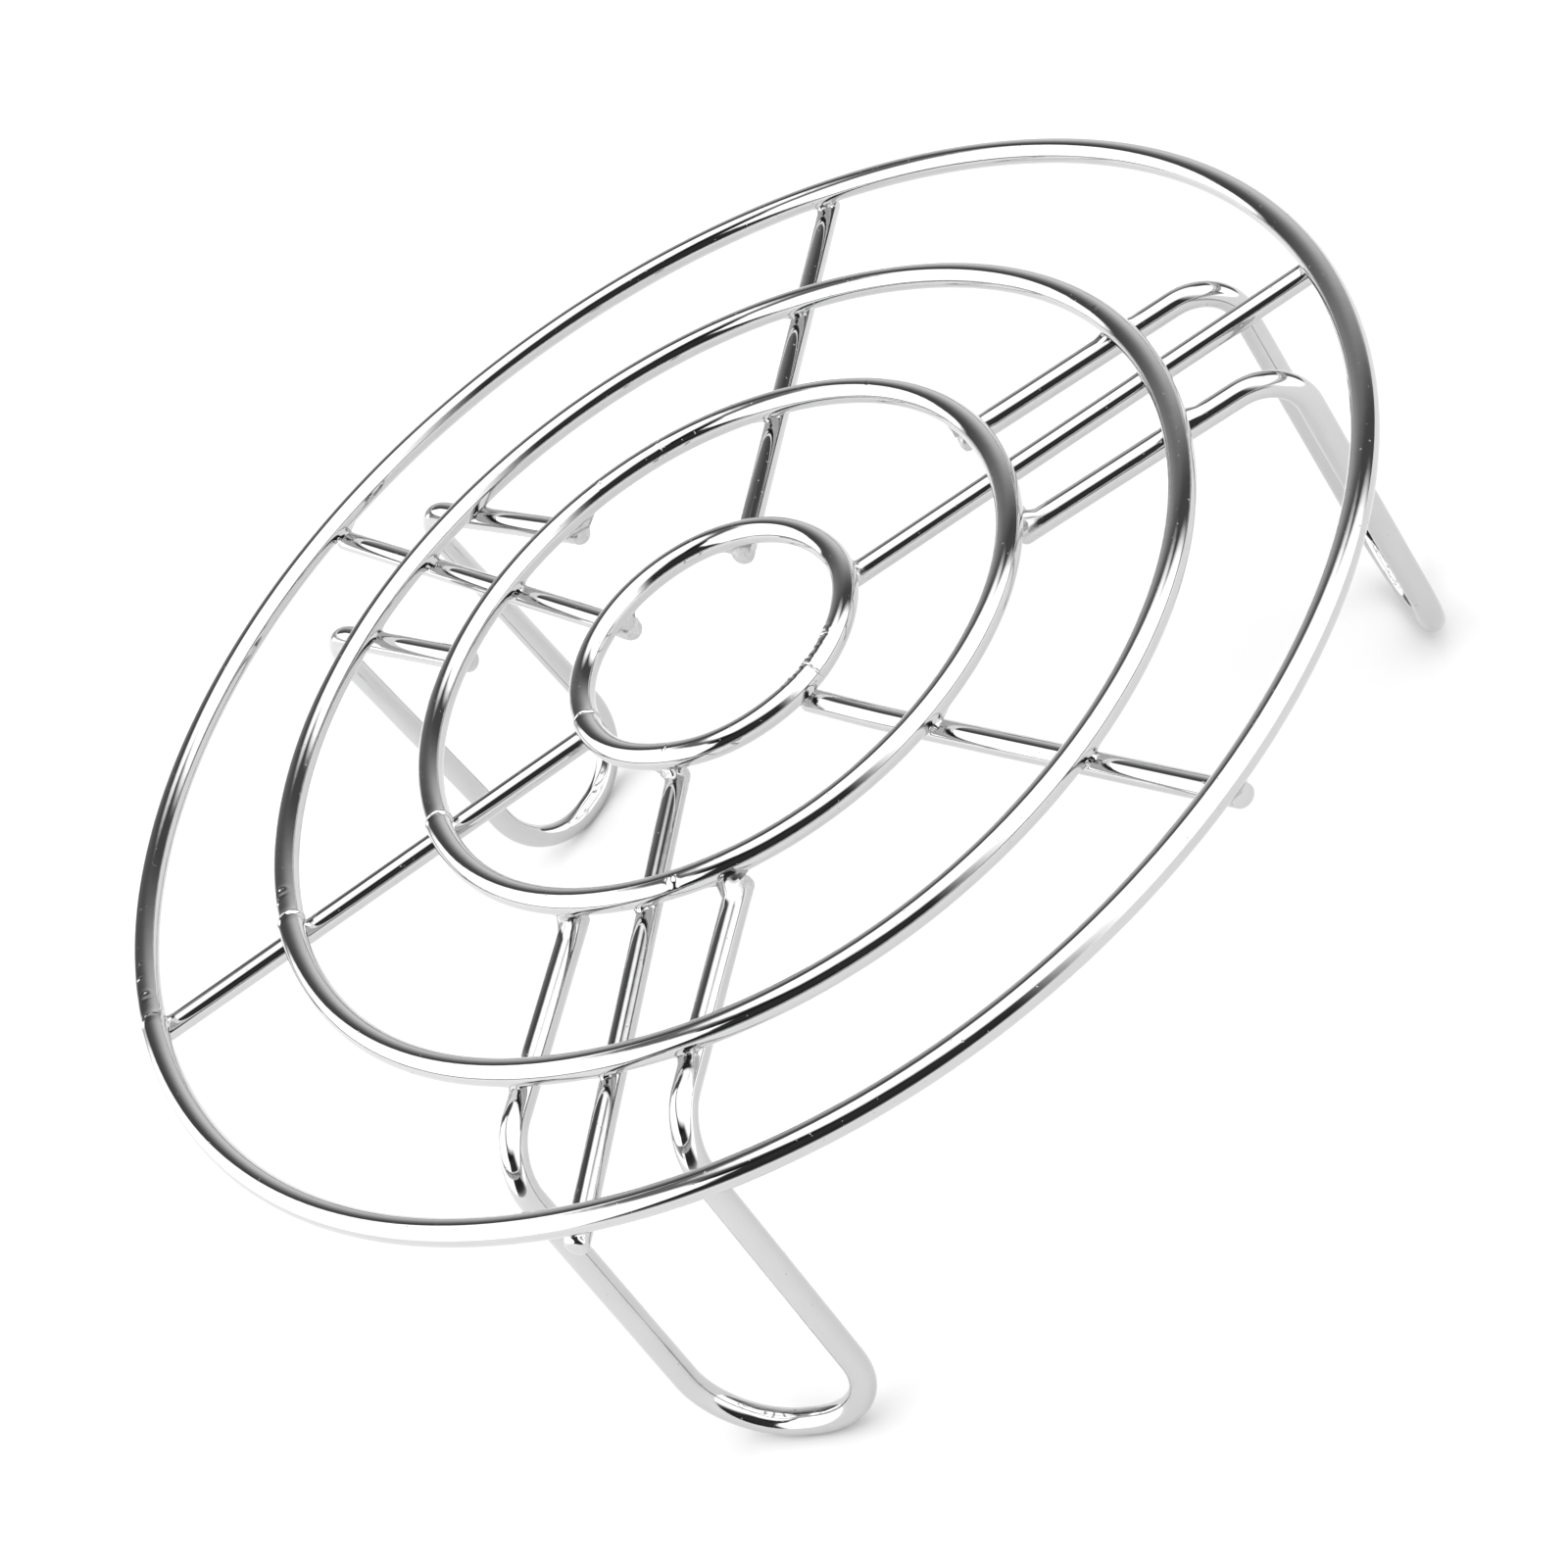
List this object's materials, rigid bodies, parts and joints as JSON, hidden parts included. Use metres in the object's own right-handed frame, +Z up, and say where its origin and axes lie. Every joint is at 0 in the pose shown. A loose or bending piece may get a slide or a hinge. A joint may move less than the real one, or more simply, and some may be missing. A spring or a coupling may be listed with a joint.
{
  "type": "cooling rack",
  "caption": "Round raised cooling rack: concentric wire rings welded on radial wire spokes, standing on looped wire legs.",
  "frame": {"origin": "on the resting plane, under the centre of the outer ring", "axes": "+Z up, from the feet to the grid; -Y points along the front leg"},
  "size_m": [0.2, 0.1999, 0.0674],
  "materials": {
    "ring_steel": "bright polished stainless steel wire, 3.8 mm",
    "spoke_steel": "bright polished stainless steel wire, 3.4 mm",
    "leg_steel": "bright polished stainless steel wire, 3.8 mm"
  },
  "bodies": {
    "root": {"ring_inner": "ring_steel", "ring_second": "ring_steel", "ring_third": "ring_steel", "ring_outer": "ring_steel", "spoke_1": "spoke_steel", "spoke_2": "spoke_steel", "spoke_3": "spoke_steel", "spoke_4": "spoke_steel", "spoke_5": "spoke_steel", "spoke_6": "spoke_steel", "leg_front": "leg_steel", "leg_right": "leg_steel", "leg_left": "leg_steel"}
  },
  "joints": []
}
